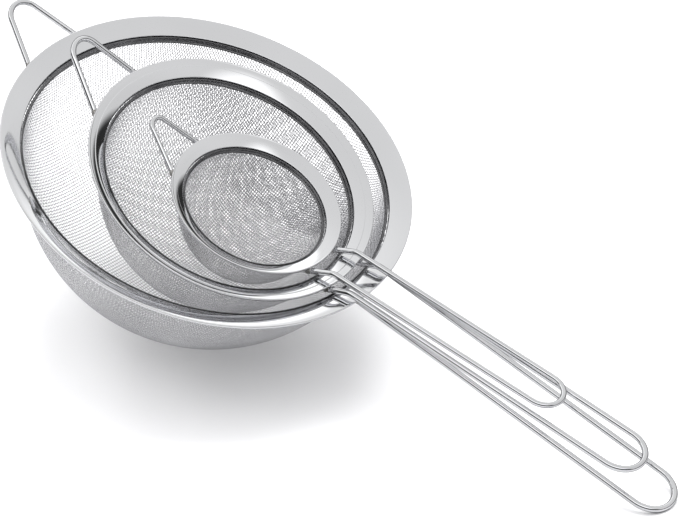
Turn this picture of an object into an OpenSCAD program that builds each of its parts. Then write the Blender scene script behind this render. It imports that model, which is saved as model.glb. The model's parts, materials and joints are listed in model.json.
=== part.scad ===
// A nested set of three fine-mesh strainers: large, medium and small.
// Each has a woven bowl clamped inside a wide polished rim, a long wire handle
// loop and a wire rest hook, both welded to the underside of the rim.
// The set lies on a table on the large bowl and the tip of the large handle.

/* [Large strainer] */
// Outside diameter of the large rim
large_rim_d = 200; // [197:0.5:203]
// Depth of the large strainer below the upper edge of its rim
large_depth = 83.5; // [82:0.5:85.5]
// Distance from the centre of the large rim to the tip of its handle
large_reach = 270; // [255:1:285]
// Spacing of the two legs of the large handle
large_handle_w = 26; // [24:0.5:28]

/* [Medium strainer] */
// Outside diameter of the medium rim
medium_rim_d = 142; // [140:0.5:143]
// Depth of the medium strainer below the upper edge of its rim
medium_depth = 64.5; // [62:0.5:65.5]
// Distance from the centre of the medium rim to the tip of its handle
medium_reach = 234; // [222:1:246]
// Spacing of the two legs of the medium handle
medium_handle_w = 25; // [23:0.5:26]

/* [Small strainer] */
// Outside diameter of the small rim
small_rim_d = 84; // [83:0.5:85]
// Depth of the small strainer below the upper edge of its rim
small_depth = 40.5; // [39:0.5:41.5]
// Distance from the centre of the small rim to the tip of its handle
small_reach = 171.5; // [165:0.5:180]
// Spacing of the two legs of the small handle
small_handle_w = 20; // [19:0.5:21]

/* [Wire and sheet] */
// Diameter of the handle wire on the large and medium strainers
wire_d = 3.1; // [2.7:0.1:3.2]
// Diameter of the hook wire on the large and medium strainers
hook_d = 2.8; // [2.4:0.1:3]
// Thickness of the sheet steel of the rims
sheet_t = 0.7; // [0.5:0.1:0.8]
// Thickness of the woven mesh
mesh_t = 0.7; // [0.5:0.1:0.8]

/* [Hidden] */
$fn = 96;

// The lists below hold one value for each strainer, in this order.
LARGE = 0;
MEDIUM = 1;
SMALL = 2;
ALL = [LARGE, MEDIUM, SMALL];

// Rims. Heights are measured from a plane a little above the rim.
rim_r = [large_rim_d, medium_rim_d, small_rim_d] / 2;
flange_w = [10.4, 8.4, 6.4];      // width of the flange, from its edge to the mouth
flange_p = [1.35, 1.2, 1.2];      // the flange falls as this power of the distance from its edge
dish = [3.7, 4.6, 3.4];           // depth of the mouth below the plane
collar_h = [3, 2.7, 2.2];         // collar turned down at the mouth
edge_drop = 0.5;                  // depth of the upper edge below the plane
hem_t = 1.5;                      // the edge is folded under to a hem
hem_w = [4.2, 4, 3.4];            // width of the hem
edge_c = 0.3;                     // bevel of the hem edges
under_t = 0.75;                   // height of the sloping sheet, measured upright
clamp_t = 0.6;                    // wall of the clamp ring
bead_r = 0.5;                     // bead on the lower edge of the clamp ring
hem_z = -edge_drop - hem_t;       // underside of the hem

mouth_r = rim_r - flange_w;
collar_z = -dish - collar_h;      // lower edge of the collar and top of the bowl

// Bowls. Outer and inner faces are parts of spheres, drawn in a little below the collar.
depth = [large_depth, medium_depth, small_depth] + edge_drop * [1, 1, 1];
draw_in = 0.05;
function cap_r(edge_r, cap_h) = (edge_r * edge_r + cap_h * cap_h) / (2 * cap_h);
bowl_r = [for (i = ALL) cap_r(mouth_r[i] - draw_in, depth[i] + collar_z[i])];
bowl_z = bowl_r - depth;
inner_r = [for (i = ALL) cap_r(mouth_r[i] - draw_in - mesh_t, depth[i] + collar_z[i] - mesh_t)];
inner_z = [for (i = ALL) inner_r[i] - depth[i] + mesh_t];

// Handles. Each leg starts under the hem and climbs, then bends to a gentler slope.
// The legs of the large handle run straight.
wire_r = [wire_d, wire_d, wire_d - 0.3] / 2;
reach = [large_reach, medium_reach, small_reach];
leg_y = [large_handle_w, medium_handle_w, small_handle_w] / 2;
climb_a = [-2.3, 36, 38];         // angle of the first run
climb_l = [0, 13.6, 14.8];        // length of the first run
slope_a = [-2.3, 8.6, 8.1];       // angle of the leg beyond the bend
leg_in = [4, 3, 2.5];             // root of the leg, inside the edge of the hem
bend_r = 6;                       // bend between the two runs
weld_gap = 0.15;                  // gap between a wire and the hem, filled by the weld
seam = 0.02;                      // hairline seam where two runs of a wire meet
core_in = 0.03;                   // the core that joins two runs is this much thinner
core_l = 0.4;

// Rest hooks. They point away from the handle and rise above the rim.
hook_r = [hook_d, hook_d, hook_d - 0.5] / 2;
hook_y = [18.5, 19, 13.7];        // half the spread of the roots
hook_out = [25, 25.4, 19.5];      // reach of the tip beyond the rim
hook_tip_r = [9.1, 9, 5.3];       // bend at the tip
hook_turn = [-5, 2.9, 5.1];       // turn about the axis of the rim
hook_rise = [20, 24, 24];         // angle above the plane of the rim
hook_in = 2.4;                    // root of the hook, inside the edge of the hem

// Welds. Each one is a post between the middle of a wire and the hem.
leg_weld_r = [2, 2, 1.85];
leg_weld_at = [2.2, 2, 1.7];      // distance from the root, along the wire
hook_weld_r = [1.9, 1.9, 1.6];
hook_weld_at = 1.2;
weld_cut_l = 12;                  // length of wire cut out of a weld

// Plan distance from the centre to the edge of the hem, at a distance y to one side
function edge_x(i, y) = sqrt(rim_r[i] * rim_r[i] - y * y);

// Height at the hem edge of a wire of radius r that passes under it at angle a
function under_edge(r, a) = hem_z - (r + weld_gap) / cos(a);

leg_root_x = [for (i = ALL) edge_x(i, leg_y[i]) - leg_in[i]];
leg_root_z = [for (i = ALL) under_edge(wire_r[i], climb_a[i]) - leg_in[i] * tan(max(climb_a[i], 0))];
hook_root_x = [for (i = ALL) edge_x(i, hook_y[i] - 1) - hook_in];
hook_root_z = [for (i = ALL) under_edge(hook_r[i], hook_rise[i]) - hook_in * tan(hook_rise[i])];

// Start of the main run of a leg, its length, and the height of the tip of the handle
leg_bend = climb_a - slope_a;
main_x = [for (i = ALL) leg_root_x[i] + climb_l[i] * cos(climb_a[i])
          + bend_r * (sin(climb_a[i]) - sin(slope_a[i]))];
main_z = [for (i = ALL) leg_root_z[i] + climb_l[i] * sin(climb_a[i])
          + bend_r * (cos(slope_a[i]) - cos(climb_a[i]))];
main_l = [for (i = ALL) (reach[i] - main_x[i]) / cos(slope_a[i]) - leg_y[i]];
tip_z = [for (i = ALL) main_z[i] + (reach[i] - main_x[i]) * tan(slope_a[i])];

// The set rolls a little to one side, because the inner strainers lie off centre, and leans
// until the lowest point of the large handle's loop reaches the table. That point moves around
// the loop as the set leans, so the angle is found in a few steps.
roll = 4.4;
loop_x = reach[LARGE] - leg_y[LARGE] * cos(slope_a[LARGE]);
loop_z = tip_z[LARGE] - leg_y[LARGE] * sin(slope_a[LARGE]);
bowl_over_loop = (bowl_z[LARGE] - loop_z) * cos(roll);

function loop_sag(a) = leg_y[LARGE] * sqrt(1 - pow(cos(a - slope_a[LARGE]) * cos(roll), 2));
function lean_from(a) =
  asin((bowl_r[LARGE] - wire_r[LARGE] - loop_sag(a)) / norm([loop_x, bowl_over_loop]))
  - atan2(bowl_over_loop, loop_x);
lean = lean_from(lean_from(lean_from(lean_from(15))));

// A point in the frame of the large rim, turned as the set lies, from the centre of the bowl
function rolled(p) = [p.x, p.y * cos(roll) - p.z * sin(roll), p.y * sin(roll) + p.z * cos(roll)];
function leaned(p) = [p.x * cos(lean) + p.z * sin(lean), p.y, p.z * cos(lean) - p.x * sin(lean)];
function turned(p) = leaned(rolled(p - [0, 0, bowl_z[LARGE]]));

// The set is centred between the tips of the large hook and the large handle, and across its rim.
hook_tip_r_l = rim_r[LARGE] + hook_out[LARGE];
hook_tip = [-hook_tip_r_l * cos(hook_turn[LARGE]), -hook_tip_r_l * sin(hook_turn[LARGE]),
            hook_root_z[LARGE] + (hook_tip_r_l - hook_root_x[LARGE]) * tan(hook_rise[LARGE])];
front_x = turned([reach[LARGE], 0, tip_z[LARGE]]).x + wire_r[LARGE];
back_x = turned(hook_tip).x - hook_r[LARGE];
centre_x = (front_x + back_x) / 2;
centre_y = turned([0, 0, hem_z + hem_t / 2]).y;

// Where each strainer lies in the frame of the large rim
nest_at = [[0, 0, 0], [15.4, -5.4, 9.5], [31.2, -5.6, 5]];
nest_lean = [0, 7.23, 5.47];

module in_place(i) {
  translate([-centre_x, -centre_y, bowl_r[LARGE]])
    rotate([0, lean, 0])
      rotate([roll, 0, 0])
        translate(nest_at[i] - [0, 0, bowl_z[LARGE]])
          rotate([0, nest_lean[i], 0])
            children();
}

// ---------- Rims and bowls, standing about their own axis ----------

// Height of the flange at a distance d from its edge
function flange_z(i, d) = -edge_drop - (dish[i] - edge_drop) * pow(d / flange_w[i], flange_p[i]);

module rim_shape(i) {
  r = rim_r[i];
  m = mouth_r[i];
  w = flange_w[i];
  hem = hem_w[i];
  back = w - sheet_t;
  steps = 6;
  rotate_extrude()
    polygon(concat(
      [[r, -edge_drop - edge_c]],
      [for (k = [0:steps]) let (d = edge_c + (w - edge_c) * k / steps) [r - d, flange_z(i, d)]],
      [[m, collar_z[i]], [m + sheet_t, collar_z[i]]],
      [for (k = [0:steps]) let (d = back + (hem - back) * k / steps) [r - d, flange_z(i, d) - under_t]],
      [[r - hem + edge_c, hem_z], [r - edge_c, hem_z], [r, hem_z + edge_c]]
    ));
}

module rim_flange(i) {
  color([0.80, 0.81, 0.83])
    in_place(i)
      rim_shape(i);
}

module mesh_bowl(i) {
  color([0.62, 0.63, 0.66])
    in_place(i)
      rotate_extrude() {
        intersection() {
          difference() {
            translate([0, bowl_z[i]]) circle(r = bowl_r[i]);
            translate([0, inner_z[i]]) circle(r = inner_r[i]);
          }
          translate([0, -depth[i] - 1]) square([rim_r[i], depth[i] + 1 + collar_z[i]]);
        }
        translate([mouth_r[i] - mesh_t, collar_z[i] - 0.2]) square([mesh_t, collar_h[i]]);
      }
}

module clamp_ring(i) {
  r = mouth_r[i] - mesh_t - clamp_t;
  color([0.70, 0.71, 0.74])
    in_place(i)
      rotate_extrude() {
        translate([r, collar_z[i]]) square([clamp_t, collar_h[i] - 0.1]);
        translate([r - 0.1, collar_z[i] - 0.1]) circle(r = bead_r, $fn = 32);
      }
}

// ---------- Wires ----------

module rod(r, l) {
  rotate([0, 90, 0]) cylinder(r = r, h = l);
}

// A straight run of wire along +X, short of its neighbours by a seam at each end
module run(r, l) {
  translate([seam, 0, 0]) rod(r, l - 2 * seam);
}

// The core that joins two runs, centred on their seam
module core(r) {
  translate([-core_l / 2, 0, 0]) rod(r - core_in, core_l);
}

// A bend about Z through the origin
module bend(r, turn_r, angle, start) {
  rotate_extrude(angle = angle, start = start)
    translate([turn_r, 0]) circle(r = r, $fn = 48);
}

// ---------- Handles ----------

// The first run of a leg and its bend, and then the main run, starting at the root
module handle_leg(i) {
  rotate([0, -climb_a[i], 0]) {
    if (climb_l[i] > 0) {
      run(wire_r[i], climb_l[i]);
      translate([climb_l[i], 0, 0]) {
        core(wire_r[i]);
        translate([0, 0, -bend_r])
          rotate([90, 0, 0]) bend(wire_r[i], bend_r, leg_bend[i], 90 - leg_bend[i]);
      }
    }
    translate([climb_l[i] + bend_r * sin(leg_bend[i]), 0, bend_r * (cos(leg_bend[i]) - 1)])
      rotate([0, leg_bend[i], 0]) {
        if (climb_l[i] > 0) core(wire_r[i]);
        run(wire_r[i], main_l[i]);
        translate([main_l[i], 0, 0]) core(wire_r[i]);
      }
  }
}

module at_leg_roots(i) {
  for (side = [-1, 1])
    translate([leg_root_x[i], side * leg_y[i], leg_root_z[i]])
      children();
}

module handle_wire(i) {
  color([0.82, 0.83, 0.85])
    in_place(i) {
      at_leg_roots(i) handle_leg(i);
      translate([main_x[i] + main_l[i] * cos(slope_a[i]), 0, main_z[i] + main_l[i] * sin(slope_a[i])])
        rotate([0, -slope_a[i], 0]) bend(wire_r[i], leg_y[i], 180, -90);
    }
}

module weld_post(at, r) {
  translate(at) cylinder(r = r, h = hem_z - at.z);
}

module handle_welds(i) {
  along = leg_weld_at[i];
  color([0.66, 0.66, 0.68])
    in_place(i)
      difference() {
        for (side = [-1, 1])
          weld_post([leg_root_x[i] + along * cos(climb_a[i]), side * leg_y[i],
                     leg_root_z[i] + along * sin(climb_a[i])], leg_weld_r[i]);
        at_leg_roots(i)
          rotate([0, -climb_a[i], 0])
            translate([-weld_cut_l / 2, 0, 0]) rod(wire_r[i], weld_cut_l);
      }
}

// ---------- Rest hooks ----------

// Angle between each leg of a hook and the line down its middle
function hook_a(i) = acos(hook_tip_r[i] / norm([hook_c(i), hook_y[i]])) - atan2(hook_c(i), hook_y[i]);

// Distance from the roots of a hook to the centre of its tip bend, along the hook
function hook_c(i) = (rim_r[i] + hook_out[i] - hook_root_x[i]) / cos(hook_rise[i]) - hook_tip_r[i];

// The plane of the hook: origin midway between its roots, the tip towards -X
module in_hook_plane(i) {
  rotate([0, 0, hook_turn[i]])
    translate([-hook_root_x[i], 0, hook_root_z[i]])
      rotate([0, hook_rise[i], 0])
        children();
}

module at_hook_roots(i) {
  for (side = [-1, 1])
    translate([0, side * hook_y[i], 0])
      rotate([0, 0, 180 + side * hook_a(i)])
        children();
}

module rest_hook(i) {
  a = hook_a(i);
  leg = norm([hook_c(i) + hook_tip_r[i] * sin(a), hook_y[i] - hook_tip_r[i] * cos(a)]);
  color([0.82, 0.83, 0.85])
    in_place(i)
      in_hook_plane(i) {
        at_hook_roots(i) {
          run(hook_r[i], leg);
          translate([leg, 0, 0]) core(hook_r[i]);
        }
        translate([-hook_c(i), 0, 0]) bend(hook_r[i], hook_tip_r[i], 180 - 2 * a, 90 + a);
      }
}

module hook_welds(i) {
  ahead = hook_weld_at * cos(hook_a(i));
  color([0.66, 0.66, 0.68])
    in_place(i)
      difference() {
        rotate([0, 0, hook_turn[i]])
          for (side = [-1, 1])
            weld_post([-hook_root_x[i] - ahead * cos(hook_rise[i]),
                       side * (hook_y[i] - hook_weld_at * sin(hook_a(i))),
                       hook_root_z[i] + ahead * sin(hook_rise[i])], hook_weld_r[i]);
        in_hook_plane(i)
          at_hook_roots(i)
            translate([-weld_cut_l / 2, 0, 0]) rod(hook_r[i], weld_cut_l);
      }
}

// ---------- Pieces ----------

module large_rim_flange() rim_flange(LARGE);
module large_mesh_bowl() mesh_bowl(LARGE);
module large_clamp_ring() clamp_ring(LARGE);
module large_handle_wire() handle_wire(LARGE);
module large_rest_hook() rest_hook(LARGE);
module large_handle_welds() handle_welds(LARGE);
module large_hook_welds() hook_welds(LARGE);
module medium_rim_flange() rim_flange(MEDIUM);
module medium_mesh_bowl() mesh_bowl(MEDIUM);
module medium_clamp_ring() clamp_ring(MEDIUM);
module medium_handle_wire() handle_wire(MEDIUM);
module medium_rest_hook() rest_hook(MEDIUM);
module medium_handle_welds() handle_welds(MEDIUM);
module medium_hook_welds() hook_welds(MEDIUM);
module small_rim_flange() rim_flange(SMALL);
module small_mesh_bowl() mesh_bowl(SMALL);
module small_clamp_ring() clamp_ring(SMALL);
module small_handle_wire() handle_wire(SMALL);
module small_rest_hook() rest_hook(SMALL);
module small_handle_welds() handle_welds(SMALL);
module small_hook_welds() hook_welds(SMALL);

large_rim_flange();
large_mesh_bowl();
large_clamp_ring();
large_handle_wire();
large_rest_hook();
large_handle_welds();
large_hook_welds();
medium_rim_flange();
medium_mesh_bowl();
medium_clamp_ring();
medium_handle_wire();
medium_rest_hook();
medium_handle_welds();
medium_hook_welds();
small_rim_flange();
small_mesh_bowl();
small_clamp_ring();
small_handle_wire();
small_rest_hook();
small_handle_welds();
small_hook_welds();
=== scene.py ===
"""A nested set of three fine-mesh strainers: woven bowls, polished rims, wire handles and hooks.

Everything is made in the row frame, in metres. Each strainer is drawn in its own frame, which is
measured on the CAD rim. Its origin is on the axis of the bowl, EDGE_DROP above the rim's upper
edge, with +Z out of the bowl and +X towards the handle. Sizes in that frame are in millimetres.
"""

import json
import math

import bpy
import numpy as np
from mathutils import Matrix, Vector


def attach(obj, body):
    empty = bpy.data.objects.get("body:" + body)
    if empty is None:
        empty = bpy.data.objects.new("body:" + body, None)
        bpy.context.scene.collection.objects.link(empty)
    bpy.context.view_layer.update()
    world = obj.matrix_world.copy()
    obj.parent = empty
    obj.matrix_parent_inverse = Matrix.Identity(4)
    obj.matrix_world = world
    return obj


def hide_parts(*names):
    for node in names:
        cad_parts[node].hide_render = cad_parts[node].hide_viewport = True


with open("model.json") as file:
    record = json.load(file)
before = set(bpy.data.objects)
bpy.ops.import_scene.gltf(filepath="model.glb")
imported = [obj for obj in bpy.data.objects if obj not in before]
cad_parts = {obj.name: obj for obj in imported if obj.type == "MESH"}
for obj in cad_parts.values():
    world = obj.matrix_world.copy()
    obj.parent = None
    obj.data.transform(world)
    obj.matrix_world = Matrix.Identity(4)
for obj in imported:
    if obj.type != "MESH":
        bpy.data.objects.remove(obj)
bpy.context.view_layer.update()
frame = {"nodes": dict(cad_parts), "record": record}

MM = 0.001

# Sizes that the strainers share, in millimetres unless it says otherwise
EDGE_DROP = 0.5     # depth of a rim's upper edge below the plane that heights are measured from
HEM = 1.5           # thickness of the folded edge
SHEET = 0.7         # sheet steel of the rims
UNDER = 0.75        # height of the sloping sheet, measured upright
MESH_BAND = 0.7     # room for the mesh between collar and clamp ring
MESH_UP = 0.4       # how far the mesh runs up there, as a part of the collar's height
CLAMP = 0.6         # wall of the clamp ring
CRIMP = 0.5         # rise and fall of a mesh wire, as a part of its radius
BEND = 6.0          # bend in a handle leg
WELD_GAP = 0.15     # gap between a wire and the hem
WELD_IN = 2.2       # middle of a weld bead, along the wire from its end
WELD_LIFT = 0.35    # a weld bead's middle above the centre line of its wire
WELD_LONG = 1.25    # length of a weld bead, as a part of its width
HOOK_IN = 2.4       # root of a hook inside the edge of the hem
HANDLE_BEAD = 0.4   # a weld bead's radius beyond that of the handle wire
HOOK_BEAD = 0.35    # the same for the hook wire

# Sizes of each strainer in its own frame, in millimetres and degrees. They agree with the CAD
# solids, apart from the mesh, which is a plain shell there:
#   rim     radius, width of the flange, how late it curves down, width of the hem below it,
#           depth of the mouth, height of the collar, depth of the bowl
#   mesh    distance between wires, their diameter, turn about the axis, pieces each way
#   handle  distance from the axis to its tip, half its width, radius of the wire, angle and
#           length of the first climb, angle of the legs, their start inside the edge
#   hook    radius of the wire, half the distance between its ends, reach beyond the rim,
#           radius of the tip, turn about the axis, rise
STRAINERS = {
    "large": dict(
        rim_r=100.0, flange_w=10.4, flange_power=1.35, hem_w=4.2, dish=3.7, collar_h=3.0, depth=84.0,
        mesh_pitch=1.5, mesh_wire=0.40, mesh_turn=-6.0, mesh_parts=2,
        reach=270.0, leg_y=13.0, wire_r=1.55, climb_a=-2.3, climb_l=0.0, slope_a=-2.3, leg_in=4.0,
        hook_r=1.4, hook_y=18.5, hook_out=25.0, hook_tip=9.1, hook_turn=-5.0, hook_rise=20.0,
    ),
    "medium": dict(
        rim_r=71.0, flange_w=8.4, flange_power=1.2, hem_w=4.0, dish=4.6, collar_h=2.7, depth=65.0,
        mesh_pitch=1.3, mesh_wire=0.35, mesh_turn=-8.0, mesh_parts=2,
        reach=234.0, leg_y=12.5, wire_r=1.55, climb_a=36.0, climb_l=13.6, slope_a=8.6, leg_in=3.0,
        hook_r=1.4, hook_y=19.0, hook_out=25.4, hook_tip=9.0, hook_turn=2.9, hook_rise=24.0,
    ),
    "small": dict(
        rim_r=42.0, flange_w=6.4, flange_power=1.2, hem_w=3.4, dish=3.4, collar_h=2.2, depth=41.0,
        mesh_pitch=1.15, mesh_wire=0.31, mesh_turn=6.0, mesh_parts=1,
        reach=171.5, leg_y=10.0, wire_r=1.4, climb_a=38.0, climb_l=14.8, slope_a=8.1, leg_in=2.5,
        hook_r=1.15, hook_y=13.7, hook_out=19.5, hook_tip=5.3, hook_turn=5.1, hook_rise=24.0,
    ),
}

LATHE_STEPS = 384
TUBE_SIDES = 24


# ---------------------------------------------------------------- frames


def plane_of(points):
    """Centre and unit normal of the plane that fits some points best."""
    centre = points.mean(0)
    return centre, np.linalg.svd(points - centre)[2][2]


def rim_frame(name):
    """Matrix from a strainer's own frame, in metres, to the row frame."""
    rim = frame["nodes"][name + "_rim_flange"]
    points = np.array([v.co for v in rim.data.vertices], float)
    centre, axis = plane_of(points)
    for _ in range(3):
        away = points - centre
        height = away @ axis
        radius = np.linalg.norm(away - height[:, None] * axis, axis=1)
        edge = points[radius > radius.max() - 0.1 * MM]
        flat, axis = plane_of(edge)
        planar = edge - flat
        basis = np.linalg.svd(planar)[2][:2]
        xy = planar @ basis.T
        # The circle that fits the edge points best, from 2 c.x + k = x.x
        lhs = np.c_[2 * xy, np.ones(len(xy))]
        fit = np.linalg.lstsq(lhs, (xy**2).sum(1), rcond=None)[0]
        centre = flat + fit[:2] @ basis
    if axis[2] < 0:
        axis = -axis
    # The outer edge runs from the lower to the upper bevel of the hem.
    centre = centre + axis * (EDGE_DROP + HEM / 2) * MM
    mounts = {m["name"]: m for m in frame["record"]["mounts"]}
    ahead = np.array(mounts[name + "_hang_loop"]["pos_m"]) - centre
    x_axis = ahead - (ahead @ axis) * axis
    x_axis /= np.linalg.norm(x_axis)
    y_axis = np.cross(axis, x_axis)
    place = np.eye(4)
    place[:3, :3] = np.c_[x_axis, y_axis, axis]
    place[:3, 3] = centre
    return place


def to_row(place, points):
    """Points in a strainer's own frame, in millimetres, to the row frame in metres."""
    return np.asarray(points, float) * MM @ place[:3, :3].T + place[:3, 3]


# ---------------------------------------------------------------- meshes


def mesh_object(name, verts, quads, tris=None, smooth=True):
    """A mesh from numpy arrays of points, four-sided faces and three-sided faces."""
    mesh = bpy.data.meshes.new(name)
    tris = np.zeros((0, 3), int) if tris is None else np.asarray(tris, int)
    quads = np.asarray(quads, int).reshape(-1, 4)
    mesh.vertices.add(len(verts))
    mesh.vertices.foreach_set("co", np.asarray(verts, np.float32).ravel())
    loops = np.concatenate([quads.ravel(), tris.ravel()]).astype(np.int32)
    mesh.loops.add(len(loops))
    mesh.loops.foreach_set("vertex_index", loops)
    totals = np.r_[np.full(len(quads), 4), np.full(len(tris), 3)].astype(np.int32)
    mesh.polygons.add(len(totals))
    mesh.polygons.foreach_set("loop_start", np.r_[0, np.cumsum(totals)[:-1]].astype(np.int32))
    mesh.polygons.foreach_set("loop_total", totals)
    mesh.polygons.foreach_set("use_smooth", np.full(len(totals), smooth))
    mesh.update(calc_edges=True)
    mesh.validate()
    obj = bpy.data.objects.new(name, mesh)
    bpy.context.scene.collection.objects.link(obj)
    return obj


def lathe(name, place, profile, steps=LATHE_STEPS):
    """A closed outline of (radius, height) points, in millimetres, turned about the own Z."""
    profile = np.asarray(profile, float)
    count = len(profile)
    angle = np.arange(steps) * 2 * math.pi / steps
    r = profile[None, :, 0]
    z = np.broadcast_to(profile[None, :, 1], (steps, count))
    points = np.stack([r * np.cos(angle)[:, None], r * np.sin(angle)[:, None], z], -1)
    index = np.arange(steps * count).reshape(steps, count)
    across = np.roll(index, -1, 0)
    quads = np.stack(
        [index, across, np.roll(across, -1, 1), np.roll(index, -1, 1)], -1
    ).reshape(-1, 4)
    return mesh_object(name, to_row(place, points.reshape(-1, 3)), quads)


def tube(name, place, path, radius, sides=TUBE_SIDES):
    """A round wire along a path of points in a strainer's own frame, with rounded ends."""
    path = np.asarray(path, float)
    tangent = np.gradient(path, axis=0)
    tangent /= np.linalg.norm(tangent, axis=1)[:, None]
    across = np.cross(tangent[0], [0, 0, 1.0])
    side = [across / np.linalg.norm(across)]
    for t in tangent[1:]:
        v = side[-1] - (side[-1] @ t) * t
        side.append(v / np.linalg.norm(v))
    side = np.array(side)
    up = np.cross(side, tangent)
    angle = np.arange(sides) * 2 * math.pi / sides
    cosine, sine = np.cos(angle)[None, :, None], np.sin(angle)[None, :, None]
    ring = cosine * side[:, None] + sine * up[:, None]
    # Rounded ends: the last ring is repeated, smaller and further out.
    cap = np.radians([30, 60, 85])
    lead = [(path[0] - tangent[0] * radius * math.sin(a), ring[0] * math.cos(a)) for a in cap[::-1]]
    tail = [(path[-1] + tangent[-1] * radius * math.sin(a), ring[-1] * math.cos(a)) for a in cap]
    rings = (
        [c + radius * o for c, o in lead]
        + [p + radius * o for p, o in zip(path, ring)]
        + [c + radius * o for c, o in tail]
    )
    verts = np.concatenate(rings)
    n = len(rings)
    index = np.arange(n * sides).reshape(n, sides)
    right = np.roll(index, -1, 1)
    quads = np.stack([index[:-1], right[:-1], right[1:], index[1:]], -1).reshape(-1, 4)
    ends = np.array([path[0] - tangent[0] * radius, path[-1] + tangent[-1] * radius])
    verts = np.concatenate([verts, ends])
    first, last = n * sides, n * sides + 1
    tris = np.concatenate(
        [
            np.stack([right[0], index[0], np.full(sides, first)], -1),
            np.stack([index[-1], right[-1], np.full(sides, last)], -1),
        ]
    )
    return mesh_object(name, to_row(place, verts), quads, tris)


def arc(centre, radius, start, end, count):
    """(radius, height) points along an arc, in degrees anticlockwise from +r."""
    angle = np.radians(np.linspace(start, end, count))
    return [(centre[0] + radius * math.cos(a), centre[1] + radius * math.sin(a)) for a in angle]


# ---------------------------------------------------------------- rims


def flange_z(spec, d):
    """Height of the flange at a distance d from its edge."""
    return -EDGE_DROP - (spec["dish"] - EDGE_DROP) * (d / spec["flange_w"]) ** spec["flange_power"]


def rim_outline(spec):
    """Outline of the rim: edge with a folded hem, dished flange, roll at the mouth and collar."""
    r, width, hem_w = spec["rim_r"], spec["flange_w"], spec["hem_w"]
    mouth, low = r - width, -spec["dish"] - spec["collar_h"]
    hem_z = -EDGE_DROP - HEM
    edge, roll, hem_round, step_down = 0.5, 0.45, 0.35, 0.02
    outline = arc((r - edge, hem_z + edge), edge, -90, 0, 7)
    outline += arc((r - edge, -EDGE_DROP - edge - step_down), edge, 0, 90, 9)
    # The flange falls slowly at first and rolls over into the collar. The roll starts just
    # before the mouth, where the flange isn't quite as steep yet.
    steepness = (spec["dish"] - EDGE_DROP) * spec["flange_power"] / width
    steep = math.atan(steepness * 0.97)
    last = width - roll * (1 - math.sin(steep))
    for d in np.linspace(edge, last, 28)[1:]:
        outline.append((r - d, flange_z(spec, d)))
    centre = (mouth + roll, flange_z(spec, last) - roll * math.cos(steep))
    outline += arc(centre, roll, 90 + math.degrees(steep), 180, 9)[1:]
    outline.append((mouth, low + 0.35))
    outline += arc((mouth + SHEET / 2, low + SHEET / 2), SHEET / 2, 180, 360, 9)
    # Underside, back out to the hem
    for d in np.linspace(width - SHEET, hem_w, 12):
        outline.append((r - d, flange_z(spec, d) - UNDER))
    outline += arc((r - hem_w + hem_round, hem_z + hem_round), hem_round, 180, 270, 5)[1:]
    return outline


def clamp_outline(spec):
    """Outline of the clamp ring: a thin strip with a round bead on its lower edge."""
    mouth = spec["rim_r"] - spec["flange_w"]
    outer = mouth - MESH_BAND
    inner = outer - CLAMP
    top = -spec["dish"] - 0.15
    low = -spec["dish"] - spec["collar_h"]
    bead = 0.55
    outline = arc((inner + CLAMP / 2, top - CLAMP / 2), CLAMP / 2, 0, 180, 9)
    outline.append((inner, low + 0.6))
    outline += arc((inner + 0.05, low + 0.02), bead, 110, 330, 15)
    outline.append((outer, low + 0.15))
    return outline


# ---------------------------------------------------------------- woven mesh


def cap_radius(edge, height):
    """Radius of the ball of which a bowl with this edge radius and height is a cap."""
    return (edge * edge + height * height) / (2 * height)


def fishnet(radius, pitch, limit):
    """A net of square cells drawn over a bowl: crossings of warp and weft, one pitch apart.

    Starting from two wires that cross at the bottom of the bowl, each further crossing lies one
    pitch from its two neighbours, as in cloth that is pressed over a ball. The bowl's centre is
    the origin, and crossings higher than the limit are left out. Returns the crossings as
    (i, j, xyz), with not-a-number where there is none.
    """
    # A quarter of the way round the ball is half of pi times its radius, and some more is spare.
    n = int(radius * math.pi * 0.62 / pitch) + 2
    turn = 2 * math.asin(pitch / 2 / radius)
    grid = np.full((n, n, 3), np.nan)
    steps = np.arange(n) * turn
    grid[:, 0] = np.c_[np.sin(steps), 0 * steps, -np.cos(steps)] * radius
    grid[0, :] = np.c_[0 * steps, np.sin(steps), -np.cos(steps)] * radius
    reach = (radius**2 - pitch**2 / 2) / radius
    for diagonal in range(2, 2 * n - 1):
        i = np.arange(max(1, diagonal - n + 1), min(n - 1, diagonal - 1) + 1)
        j = diagonal - i
        a, b = grid[i - 1, j], grid[i, j - 1]
        middle = (a + b) / 2
        with np.errstate(invalid="ignore", divide="ignore"):
            m = middle / np.linalg.norm(middle, axis=1)[:, None]
            out = np.cross(m, a - b)
            out /= np.linalg.norm(out, axis=1)[:, None]
            out *= np.sign(((middle - grid[i - 1, j - 1]) * out).sum(1))[:, None]
            cosine = reach / (m * a).sum(1)
            cosine[cosine > 1] = np.nan
            sine = np.sqrt(1 - cosine**2)
            grid[i, j] = radius * (cosine[:, None] * m + sine[:, None] * out)
        grid[i, j] = np.where((grid[i, j][:, 2] > limit + 2 * pitch)[:, None], np.nan, grid[i, j])
    # The other three quarters are mirror images.
    whole = np.full((2 * n - 1, 2 * n - 1, 3), np.nan)
    for si in (1, -1):
        for sj in (1, -1):
            ii = slice(n - 1, None) if si > 0 else slice(n - 1, None, -1)
            jj = slice(n - 1, None) if sj > 0 else slice(n - 1, None, -1)
            whole[ii, jj] = grid * [si, sj, 1]
    whole[whole[..., 2] > limit] = np.nan
    return whole


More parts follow.
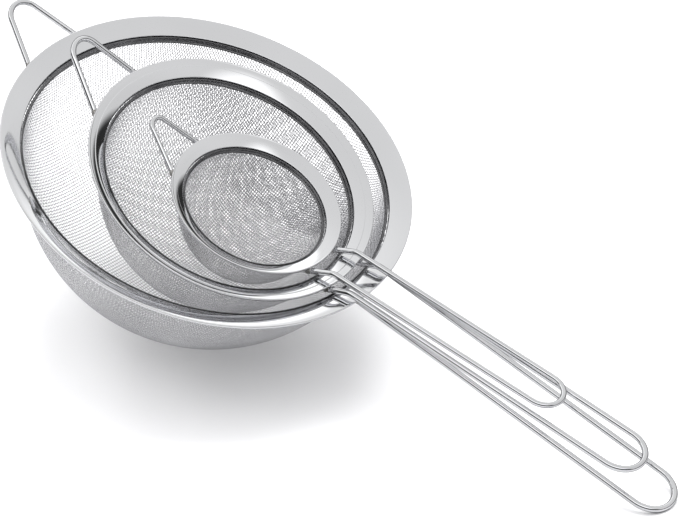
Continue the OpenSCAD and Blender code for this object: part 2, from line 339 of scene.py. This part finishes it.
def weave(name, place, net, centre_z, wire_r, parity, spin):
    """The wires that run along the net's first direction, as four-sided tubes, over and under."""
    valid = ~np.isnan(net[..., 0])
    normal = net / np.linalg.norm(net, axis=-1, keepdims=True)
    step = np.full_like(net, np.nan)
    step[1:-1] = net[2:] - net[:-2]
    ahead = np.full_like(net, np.nan)
    ahead[:-1] = net[1:] - net[:-1]
    behind = np.full_like(net, np.nan)
    behind[1:] = net[1:] - net[:-1]
    tangent = np.where(np.isnan(step), np.where(np.isnan(ahead), behind, ahead), step)
    joined = valid[1:] & valid[:-1]
    used = np.zeros(valid.shape, bool)
    used[1:] |= joined
    used[:-1] |= joined
    tangent /= np.linalg.norm(tangent, axis=-1, keepdims=True)
    side = np.cross(tangent, normal)
    side /= np.linalg.norm(side, axis=-1, keepdims=True)
    i, j = np.indices(valid.shape)
    lift = np.where((i + j + parity) % 2 == 0, 1.0, -1.0)[..., None] * wire_r * CRIMP
    middle = net + normal * lift
    number = np.full(valid.shape, -1)
    number[used] = np.arange(used.sum())
    m, s, o = middle[used], side[used], normal[used]
    corners = np.stack([m + wire_r * s, m + wire_r * o, m - wire_r * s, m - wire_r * o], 1)
    verts = corners.reshape(-1, 3)
    c, sn = math.cos(spin), math.sin(spin)
    verts = verts @ np.array([[c, sn, 0], [-sn, c, 0], [0, 0, 1]]) + [0, 0, centre_z]
    a, b = number[:-1][joined], number[1:][joined]
    around = [(0, 1), (1, 2), (2, 3), (3, 0)]
    quads = [np.stack([4 * a + p, 4 * a + q, 4 * b + q, 4 * b + p], -1) for p, q in around]
    # Ends of the wires
    before = np.zeros(valid.shape, bool)
    before[1:] = joined
    after = np.zeros(valid.shape, bool)
    after[:-1] = joined
    first, last = number[used & ~before], number[used & ~after]
    quads.append(np.stack([4 * first + 3, 4 * first + 2, 4 * first + 1, 4 * first], -1))
    quads.append(np.stack([4 * last, 4 * last + 1, 4 * last + 2, 4 * last + 3], -1))
    return mesh_object(name, to_row(place, verts), np.concatenate(quads))


def woven_bowl(name, place, spec):
    """Warp and weft of a bowl, each in a few pieces. Returns the pieces."""
    mouth = spec["rim_r"] - spec["flange_w"]
    top = -spec["dish"] - spec["collar_h"]
    half = MESH_BAND / 2
    height = spec["depth"] + top - half
    radius = cap_radius(mouth - half, height)
    centre_z = -spec["depth"] + half + radius
    limit = top + MESH_UP * spec["collar_h"] - centre_z
    coarse = 1
    net = fishnet(radius, spec["mesh_pitch"] * coarse, limit)
    spin = math.radians(spec["mesh_turn"])
    pieces = []
    for way, parity in (("warp", 0), ("weft", 1)):
        wires = net if way == "warp" else np.swapaxes(net, 0, 1)
        cuts = np.linspace(0, wires.shape[1], spec["mesh_parts"] + 1).astype(int)
        for k, (lo, hi) in enumerate(zip(cuts[:-1], cuts[1:])):
            label = "%s_mesh_%s_%d" % (name, way, k + 1)
            part = np.full_like(wires, np.nan)
            part[:, lo:hi] = wires[:, lo:hi]
            pieces.append(weave(label, place, part, centre_z, spec["mesh_wire"] / 2, parity, spin))
    return pieces


# ---------------------------------------------------------------- handles and hooks


def edge_x(spec, y):
    """Distance along X from the bowl's axis to the rim's edge, at a distance y to one side."""
    return math.sqrt(spec["rim_r"] ** 2 - y * y)


def under_edge(radius, angle):
    """Height of the centre line of a wire that rises at an angle, where it passes under the hem."""
    return -EDGE_DROP - HEM - (radius + WELD_GAP) / math.cos(math.radians(angle))


def handle_path(spec):
    """Centre line of the handle: up one leg, around the loop and back."""
    climb, slope = math.radians(spec["climb_a"]), math.radians(spec["slope_a"])
    y = spec["leg_y"]
    x = edge_x(spec, y) - spec["leg_in"]
    z = under_edge(spec["wire_r"], spec["climb_a"]) - spec["leg_in"] * math.tan(max(climb, 0))
    leg = [(x, z)]
    if spec["climb_l"]:
        for t in np.linspace(0, spec["climb_l"], 12)[1:]:
            leg.append((x + t * math.cos(climb), z + t * math.sin(climb)))
        x, z = leg[-1]
        centre_x, centre_z = x + BEND * math.sin(climb), z - BEND * math.cos(climb)
        for a in np.linspace(climb, slope, 14)[1:]:
            leg.append((centre_x - BEND * math.sin(a), centre_z + BEND * math.cos(a)))
    x, z = leg[-1]
    length = (spec["reach"] - x) / math.cos(slope) - y
    for t in np.linspace(0, length, 60)[1:]:
        leg.append((x + t * math.cos(slope), z + t * math.sin(slope)))
    x, z = leg[-1]
    turn = [
        (x + y * math.sin(a) * math.cos(slope), -y * math.cos(a), z + y * math.sin(a) * math.sin(slope))
        for a in np.linspace(0, math.pi, 49)[1:-1]
    ]
    return [(u, -y, w) for u, w in leg] + turn + [(u, y, w) for u, w in leg[::-1]]


def hook_path(spec):
    """Centre line of the rest hook."""
    rise, turn = math.radians(spec["hook_rise"]), math.radians(spec["hook_turn"])
    cosine, sine = math.cos(turn), math.sin(turn)
    root_x = edge_x(spec, spec["hook_y"] - 1) - HOOK_IN
    root_z = under_edge(spec["hook_r"], spec["hook_rise"]) - HOOK_IN * math.tan(rise)
    tip, y = spec["hook_tip"], spec["hook_y"]
    out = (spec["rim_r"] + spec["hook_out"] - root_x) / math.cos(rise) - tip
    lean = math.acos(tip / math.hypot(out, y)) - math.atan2(out, y)
    bend = [
        (out + tip * math.cos(a), tip * math.sin(a))
        for a in np.linspace(math.pi / 2 - lean, lean - math.pi / 2, 33)
    ]
    start, end = np.array((0, y)), np.array(bend[0])
    leg = [tuple(start + (end - start) * t) for t in np.linspace(0, 1, 16)[:-1]]
    flat = leg + bend + [(u, -v) for u, v in leg[::-1]]
    path = []
    for u, v in flat:
        px, py, pz = -root_x - u * math.cos(rise), v, root_z + u * math.sin(rise)
        path.append((px * cosine - py * sine, px * sine + py * cosine, pz))
    return path


def weld_bead(name, place, at, along, radius, seed):
    """A lumpy bead of weld that wraps the top of a wire where it meets the hem."""
    rng = np.random.default_rng(seed)
    rows, cols = 20, 28
    polar = np.linspace(0, math.pi, rows)[1:-1]
    angle = np.arange(cols) * 2 * math.pi / cols
    waves = rng.uniform(0, 2 * math.pi, 4)
    verts = []
    for p in polar:
        for a in angle:
            lump = 1 + 0.05 * math.sin(3 * a + waves[0]) * math.sin(2 * p + waves[1])
            lump += 0.03 * math.sin(5 * a + waves[2]) * math.sin(4 * p + waves[3])
            point = (math.cos(p) * WELD_LONG, math.sin(p) * math.cos(a), math.sin(p) * math.sin(a))
            verts.append([radius * lump * c for c in point])
    verts += [(WELD_LONG * radius, 0, 0), (-WELD_LONG * radius, 0, 0)]
    x_axis = np.asarray(along, float)
    x_axis /= np.linalg.norm(x_axis)
    y_axis = np.cross([0, 0, 1], x_axis)
    y_axis /= np.linalg.norm(y_axis)
    verts = np.array(verts) @ np.array([x_axis, y_axis, np.cross(x_axis, y_axis)]) + at
    # The bead is flat where it meets the hem.
    verts[:, 2] = np.minimum(verts[:, 2], -EDGE_DROP - HEM + 0.05)
    n = rows - 2
    index = np.arange(n * cols).reshape(n, cols)
    right = np.roll(index, -1, 1)
    quads = np.stack([index[:-1], index[1:], right[1:], right[:-1]], -1).reshape(-1, 4)
    front, back = n * cols, n * cols + 1
    tris = np.concatenate(
        [
            np.stack([index[0], right[0], np.full(cols, front)], -1),
            np.stack([right[-1], index[-1], np.full(cols, back)], -1),
        ]
    )
    return mesh_object(name, to_row(place, verts), quads, tris)


def weld_beads(name, place, path, radius):
    """A bead at each end of a wire, just inside the edge of the hem."""
    path = np.asarray(path, float)
    beads = []
    for k, (end, inner) in enumerate(((path[0], path[1]), (path[-1], path[-2]))):
        along = (inner - end) / np.linalg.norm(inner - end)
        at = end + along * WELD_IN
        at[2] += WELD_LIFT
        beads.append(weld_bead("%s_%d" % (name, k + 1), place, at, along, radius, 7 * k + 3))
    return beads


# ---------------------------------------------------------------- materials


def new_material(name, **values):
    """A Principled material with these socket values. Returns its nodes, links and shader."""
    material = bpy.data.materials.new(name)
    material.use_nodes = True
    nodes, links = material.node_tree.nodes, material.node_tree.links
    shader = nodes["Principled BSDF"]
    for key, value in values.items():
        shader.inputs[key].default_value = value
    return material, nodes, links, shader


def noise(nodes, links, scale, detail=4.0, stretch=(1, 1, 1)):
    """Noise in object space, stretched along the axes."""
    coord = nodes.new("ShaderNodeTexCoord")
    mapping = nodes.new("ShaderNodeMapping")
    mapping.inputs["Scale"].default_value = stretch
    texture = nodes.new("ShaderNodeTexNoise")
    texture.inputs["Scale"].default_value = scale
    texture.inputs["Detail"].default_value = detail
    links.new(coord.outputs["Object"], mapping.inputs["Vector"])
    links.new(mapping.outputs["Vector"], texture.inputs["Vector"])
    return texture


NOISE_LOW, NOISE_HIGH = 0.3, 0.7    # noise seldom leaves this range


def ranged(nodes, links, source, low, high):
    """The output of a noise spread over a range."""
    spread = nodes.new("ShaderNodeMapRange")
    spread.inputs["From Min"].default_value = NOISE_LOW
    spread.inputs["From Max"].default_value = NOISE_HIGH
    spread.inputs["To Min"].default_value = low
    spread.inputs["To Max"].default_value = high
    links.new(source, spread.inputs["Value"])
    return spread.outputs["Result"]


def tinted(nodes, links, source, low, high):
    """The output of a noise as a colour between a low and a high one."""
    ramp = nodes.new("ShaderNodeValToRGB")
    ramp.color_ramp.elements[0].position = NOISE_LOW
    ramp.color_ramp.elements[1].position = NOISE_HIGH
    ramp.color_ramp.elements[0].color = (*low, 1)
    ramp.color_ramp.elements[1].color = (*high, 1)
    links.new(source, ramp.inputs["Fac"])
    return ramp.outputs["Color"]


def blended(nodes, links, factor, first, second):
    """The first colour where the factor is 0, changing to the second where it is 1."""
    mix = nodes.new("ShaderNodeMix")
    mix.data_type = "RGBA"
    links.new(factor, mix.inputs["Factor"])
    links.new(first, mix.inputs["A"])
    links.new(second, mix.inputs["B"])
    return mix.outputs["Result"]


def bump(nodes, links, shader, source, strength, distance):
    """Small unevenness of a surface, from the output of a noise."""
    node = nodes.new("ShaderNodeBump")
    node.inputs["Strength"].default_value = strength
    node.inputs["Distance"].default_value = distance
    links.new(source, node.inputs["Height"])
    links.new(node.outputs["Normal"], shader.inputs["Normal"])


def polished_sheet():
    """Mirror-polished stainless sheet, with faint smudges and polishing marks."""
    material, nodes, links, shader = new_material("polished_sheet", Metallic=1.0)
    smudge = noise(nodes, links, 45.0)
    links.new(ranged(nodes, links, smudge.outputs["Fac"], 0.03, 0.08), shader.inputs["Roughness"])
    cloud = noise(nodes, links, 14.0, 2.0)
    colour = tinted(nodes, links, cloud.outputs["Fac"], (0.83, 0.835, 0.85), (0.88, 0.885, 0.90))
    links.new(colour, shader.inputs["Base Color"])
    marks = noise(nodes, links, 1800.0, 2.0)
    bump(nodes, links, shader, marks.outputs["Fac"], 0.02, 0.00002)
    return material


def polished_wire():
    """Drawn and polished round stainless wire. Its tint darkens the most grazing reflections."""
    material, nodes, links, shader = new_material(
        "polished_wire", Metallic=1.0, **{"Specular Tint": (0.04, 0.04, 0.04, 1)}
    )
    draw = noise(nodes, links, 160.0, 3.0, (1, 8, 8))
    links.new(ranged(nodes, links, draw.outputs["Fac"], 0.02, 0.06), shader.inputs["Roughness"])
    cloud = noise(nodes, links, 30.0, 2.0)
    colour = tinted(nodes, links, cloud.outputs["Fac"], (0.76, 0.765, 0.78), (0.85, 0.855, 0.87))
    links.new(colour, shader.inputs["Base Color"])
    bump(nodes, links, shader, draw.outputs["Fac"], 0.02, 0.00002)
    return material


def clamp_painted_shade():
    """Satin stainless strip, coloured far darker than steel: painted shade for the dark line along the
    mouth.
    """
    material, nodes, links, shader = new_material("clamp_painted_shade", Metallic=1.0)
    grain = noise(nodes, links, 700.0, 3.0)
    links.new(ranged(nodes, links, grain.outputs["Fac"], 0.06, 0.14), shader.inputs["Roughness"])
    cloud = noise(nodes, links, 60.0, 2.0)
    # Near black, unlike stainless: painted shade for the dark line along the mouth.
    colour = tinted(nodes, links, cloud.outputs["Fac"], (0.13, 0.13, 0.135), (0.22, 0.22, 0.225))
    links.new(colour, shader.inputs["Base Color"])
    bump(nodes, links, shader, grain.outputs["Fac"], 0.05, 0.00002)
    return material


def weld_metal():
    """Dull, slightly heat-tinted weld."""
    material, nodes, links, shader = new_material("weld_metal", Metallic=1.0)
    grain = noise(nodes, links, 900.0, 4.0)
    links.new(ranged(nodes, links, grain.outputs["Fac"], 0.28, 0.5), shader.inputs["Roughness"])
    cloud = noise(nodes, links, 300.0, 2.0)
    colour = tinted(nodes, links, cloud.outputs["Fac"], (0.34, 0.32, 0.30), (0.56, 0.55, 0.54))
    links.new(colour, shader.inputs["Base Color"])
    bump(nodes, links, shader, grain.outputs["Fac"], 0.4, 0.0001)
    return material


def mesh_wire(name, grey):
    """Fine stainless wire of the weave. Its detail is in the geometry. Its grey, set lower for the
    smaller bowls that sit inside, is painted shade.
    """
    colour = {"Base Color": (grey, grey, grey * 1.015, 1)}
    return new_material(name, Metallic=1.0, Roughness=0.12, **colour)[0]


# ---------------------------------------------------------------- assembly

SHEET_STEEL = polished_sheet()
WIRE_STEEL = polished_wire()
CLAMP_PAINTED_SHADE = clamp_painted_shade()
WELD = weld_metal()
# The same steel in three greys, darker for the bowls that sit inside: painted shade.
MESH_STEEL_PAINTED_SHADE = {
    "large": mesh_wire("mesh_wire_large", 0.88),
    "medium": mesh_wire("mesh_wire_medium", 0.82),
    "small": mesh_wire("mesh_wire_small", 0.78),
}


def dress(piece, body, material, slot, *nodes):
    """Gives a piece its material and body, and hides the CAD nodes that it stands for. The slot is not
    used.
    """
    piece.data.materials.append(material)
    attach(piece, body)
    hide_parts(*nodes)


for body, spec in STRAINERS.items():
    place = rim_frame(body)
    rim = lathe(body + "_rim", place, rim_outline(spec))
    dress(rim, body, SHEET_STEEL, "polished_steel", body + "_rim_flange")
    ring = lathe(body + "_clamp", place, clamp_outline(spec))
    dress(ring, body, CLAMP_PAINTED_SHADE, "clamp_steel", body + "_clamp_ring")
    for piece in woven_bowl(body, place, spec):
        dress(piece, body, MESH_STEEL_PAINTED_SHADE[body], "steel_mesh", body + "_mesh_bowl")
    legs = handle_path(spec)
    handle = tube(body + "_handle", place, legs, spec["wire_r"])
    dress(handle, body, WIRE_STEEL, "steel_wire", body + "_handle_wire")
    loop = hook_path(spec)
    hook = tube(body + "_hook", place, loop, spec["hook_r"])
    dress(hook, body, WIRE_STEEL, "steel_wire", body + "_rest_hook")
    for piece in weld_beads(body + "_handle_weld", place, legs, HANDLE_BEAD + spec["wire_r"]):
        dress(piece, body, WELD, "weld_metal", body + "_handle_welds")
    for piece in weld_beads(body + "_hook_weld", place, loop, HOOK_BEAD + spec["hook_r"]):
        dress(piece, body, WELD, "weld_metal", body + "_hook_welds")


# ---------------------------------------------------------------- studio


def floor():
    """A pale matt floor, far wider than the set."""
    bpy.ops.mesh.primitive_plane_add(size=12.0, location=(0, 0, 0))
    plane = bpy.context.object
    plane.name = "floor"
    material, nodes, links, shader = new_material(
        "floor_white", Roughness=0.9, **{"Base Color": (0.93, 0.93, 0.94, 1)}
    )
    shader.inputs["Specular IOR Level"].default_value = 0.0
    # The floor counts as grey in reflections, as if it ended close to the set.
    grey = nodes.new("ShaderNodeBsdfDiffuse")
    grey.inputs["Color"].default_value = (0.52, 0.52, 0.53, 1)
    path = nodes.new("ShaderNodeLightPath")
    mix = nodes.new("ShaderNodeMixShader")
    links.new(path.outputs["Is Glossy Ray"], mix.inputs["Fac"])
    links.new(shader.outputs["BSDF"], mix.inputs[1])
    links.new(grey.outputs["BSDF"], mix.inputs[2])
    links.new(mix.outputs["Shader"], nodes["Material Output"].inputs["Surface"])
    plane.data.materials.append(material)


# Greys of the walls as (height, grey), with height as the sine of the angle above the horizon
FAR_WALLS = [(0.0, 0.02), (0.25, 0.02), (0.31, 1.0), (0.50, 1.0), (0.62, 0.64), (1.0, 0.54)]
END_WALL = [(0.0, 0.02), (0.22, 0.02), (0.30, 0.50), (0.60, 0.55), (1.0, 0.52)]
NEAR_SIDE = [(0.0, 0.02), (0.54, 0.02), (0.62, 1.1), (0.78, 1.1), (0.90, 0.55), (1.0, 0.52)]


def band(nodes, links, height, stops):
    """A grey that depends on height alone, from 0 at the horizon to 1 overhead."""
    ramp = nodes.new("ShaderNodeValToRGB")
    ramp.color_ramp.interpolation = "EASE"
    while len(ramp.color_ramp.elements) < len(stops):
        ramp.color_ramp.elements.new(0.5)
    for element, (position, grey) in zip(ramp.color_ramp.elements, stops):
        element.position = position
        element.color = (grey, grey, grey, 1)
    links.new(height, ramp.inputs["Fac"])
    return ramp.outputs["Color"]


def facing(nodes, links, direction, azimuth, start, end):
    """1 towards an azimuth and 0 away from it, changing softly where the cosine of the
    direction with the azimuth goes from start to end."""
    dot = nodes.new("ShaderNodeVectorMath")
    dot.operation = "DOT_PRODUCT"
    azimuth = math.radians(azimuth)
    dot.inputs[1].default_value = (math.cos(azimuth), math.sin(azimuth), 0)
    links.new(direction, dot.inputs[0])
    soft = nodes.new("ShaderNodeMapRange")
    soft.interpolation_type = "SMOOTHSTEP"
    soft.inputs["From Min"].default_value = start
    soft.inputs["From Max"].default_value = end
    links.new(dot.outputs["Value"], soft.inputs["Value"])
    return soft.outputs["Result"]


def studio():
    """A white studio: bright far walls, a grey wall at the handles' end and a dark near side.

    The dark near side and the dark gap above the floor draw the dark lines along polished wires
    and edges. The camera itself sees plain white behind the floor.
    """
    world = bpy.data.worlds.new("studio")
    bpy.context.scene.world = world
    world.use_nodes = True
    nodes, links = world.node_tree.nodes, world.node_tree.links
    nodes.clear()
    coord = nodes.new("ShaderNodeTexCoord")
    direction = coord.outputs["Generated"]
    split = nodes.new("ShaderNodeSeparateXYZ")
    links.new(direction, split.inputs["Vector"])
    height = split.outputs["Z"]
    far = band(nodes, links, height, FAR_WALLS)
    end = band(nodes, links, height, END_WALL)
    near = band(nodes, links, height, NEAR_SIDE)
    at_end = facing(nodes, links, direction, azimuth=20.0, start=0.10, end=0.40)
    at_near = facing(nodes, links, direction, azimuth=-75.0, start=0.15, end=0.40)
    walls = blended(nodes, links, at_end, far, end)
    colour = blended(nodes, links, at_near, walls, near)
    lit = nodes.new("ShaderNodeBackground")
    lit.inputs["Strength"].default_value = 1.35
    links.new(colour, lit.inputs["Color"])
    plain = nodes.new("ShaderNodeBackground")
    plain.inputs["Color"].default_value = (1, 1, 1, 1)
    path = nodes.new("ShaderNodeLightPath")
    mix = nodes.new("ShaderNodeMixShader")
    out = nodes.new("ShaderNodeOutputWorld")
    links.new(path.outputs["Is Camera Ray"], mix.inputs["Fac"])
    links.new(lit.outputs["Background"], mix.inputs[1])
    links.new(plain.outputs["Background"], mix.inputs[2])
    links.new(mix.outputs["Shader"], out.inputs["Surface"])


def towards(azimuth, elevation):
    """Unit vector in a direction given by two angles in degrees."""
    az, el = math.radians(azimuth), math.radians(elevation)
    return Vector((math.cos(el) * math.cos(az), math.cos(el) * math.sin(az), math.sin(el)))


def area_light(name, azimuth, elevation, distance, size, power):
    """A square soft light that points at the middle of the set."""
    data = bpy.data.lights.new(name, "AREA")
    data.size = size
    data.energy = power
    light = bpy.data.objects.new(name, data)
    light.visible_glossy = False
    bpy.context.scene.collection.objects.link(light)
    away = towards(azimuth, elevation)
    light.location = away * distance
    light.rotation_euler = away.to_track_quat("Z", "Y").to_euler()


def camera(place):
    """A long lens that looks down into the bowls, placed in the large strainer's own frame."""
    azimuth, elevation, roll = -71.43, 44.35, 21.25
    aim = Vector((74.1, 11.4, -14.8)) * MM
    distance = 2.277
    data = bpy.data.cameras.new("camera")
    data.sensor_width = 36.0
    data.lens = 256.34
    data.clip_end = 50.0
    cam = bpy.data.objects.new("camera", data)
    bpy.context.scene.collection.objects.link(cam)
    away = towards(azimuth, elevation)
    look = away.to_track_quat("Z", "Y").to_matrix().to_4x4()
    rolled = Matrix.Rotation(math.radians(roll), 4, "Z")
    view = Matrix.Translation(aim + away * distance) @ look @ rolled
    cam.matrix_world = Matrix(place.tolist()) @ view
    bpy.context.scene.camera = cam


floor()
studio()
area_light("key", azimuth=120, elevation=68, distance=2.4, size=1.6, power=36)
area_light("overhead", azimuth=0, elevation=90, distance=2.4, size=3.5, power=60)
camera(rim_frame("large"))
bpy.context.scene.view_settings.view_transform = "Standard"
